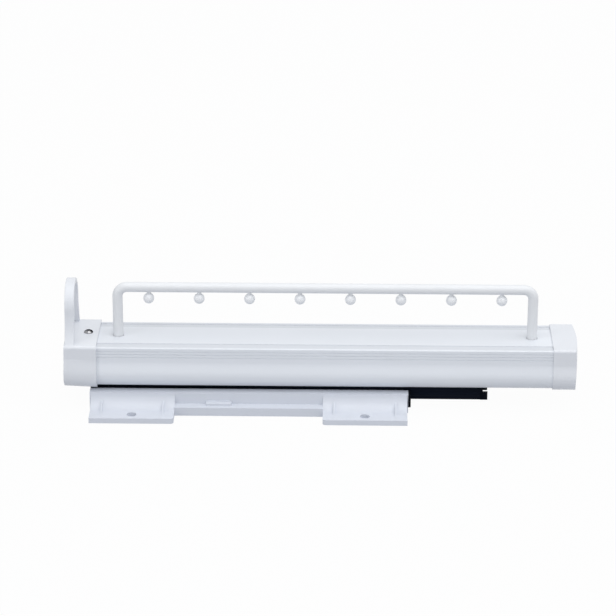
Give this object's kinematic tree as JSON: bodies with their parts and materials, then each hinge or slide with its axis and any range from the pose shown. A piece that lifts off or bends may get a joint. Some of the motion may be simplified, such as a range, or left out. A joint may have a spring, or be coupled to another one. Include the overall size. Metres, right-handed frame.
{
  "type": "pull-out clothes rail",
  "caption": "Pull-out clothes rail for a wardrobe ceiling: a rail with a hanging rod and a pull ring rides a full-extension ball-bearing slide on a screwed-on bracket.",
  "frame": {"origin": "middle of the bracket's mounting face, the centre of its four screw holes", "axes": "+X along the slide from the pull-ring end to the rear, +Y across, +Z from the mounting face to the hanging rod; the part stands on its bracket, as pictured, and is turned over for use"},
  "size_m": [0.4514, 0.12, 0.1111],
  "materials": {
    "white_moulding": "white satin moulding",
    "white_cap": "white satin moulding",
    "white_extrusion": "white powder coat, satin",
    "white_rod": "white powder coat, semi-gloss",
    "white_bead": "white gloss",
    "white_pin": "white matt",
    "black_steel": "black electrophoretic coat, satin",
    "black_plastic": "black satin",
    "cage_steel": "zinc plated strip",
    "bearing_steel": "polished",
    "zinc_screw": "zinc plated",
    "chrome_screw": "chrome plated"
  },
  "bodies": {
    "bracket": {"mounting_bracket": "white_moulding", "channel_end_clip": "black_plastic", "outer_slide_member": "black_steel", "outer_slide_screws": "zinc_screw", "rear_buffer": "black_plastic"},
    "outer_cage": {"outer_ball_cage": "cage_steel", "outer_balls": "bearing_steel"},
    "middle_member": {"middle_slide_member": "black_steel"},
    "inner_cage": {"inner_ball_cage": "cage_steel", "inner_balls": "bearing_steel"},
    "rail": {"inner_slide_member": "black_steel", "inner_slide_screws": "zinc_screw", "rail_profile": "white_extrusion", "front_cap": "white_cap", "front_cap_screw": "chrome_screw", "rear_cap": "white_cap", "hanging_rod": "white_rod", "rod_screws": "zinc_screw", "rod_washers": "zinc_screw", "bead_1": "white_bead", "bead_2": "white_bead", "bead_3": "white_bead", "bead_4": "white_bead", "bead_5": "white_bead", "bead_6": "white_bead", "bead_7": "white_bead", "bead_8": "white_bead", "bead_pin_1": "white_pin", "bead_pin_2": "white_pin", "bead_pin_3": "white_pin", "bead_pin_4": "white_pin", "bead_pin_5": "white_pin", "bead_pin_6": "white_pin", "bead_pin_7": "white_pin", "bead_pin_8": "white_pin"}
  },
  "joints": [
    {"name": "rail_slide", "type": "slide", "parent": "bracket", "child": "rail", "axis": [-1, 0, 0], "range_m": [0, 0.34]},
    {"name": "middle_slide", "type": "slide", "parent": "bracket", "child": "middle_member", "axis": [-1, 0, 0], "range_m": [0, 0.17]},
    {"name": "outer_cage_slide", "type": "slide", "parent": "bracket", "child": "outer_cage", "axis": [-1, 0, 0], "range_m": [0, 0.085]},
    {"name": "inner_cage_slide", "type": "slide", "parent": "bracket", "child": "inner_cage", "axis": [-1, 0, 0], "range_m": [0, 0.255]}
  ],
  "couplings": [
    {"joint": "middle_slide", "follows": "rail_slide", "ratio": 0.5},
    {"joint": "outer_cage_slide", "follows": "rail_slide", "ratio": 0.25},
    {"joint": "inner_cage_slide", "follows": "rail_slide", "ratio": 0.75}
  ]
}
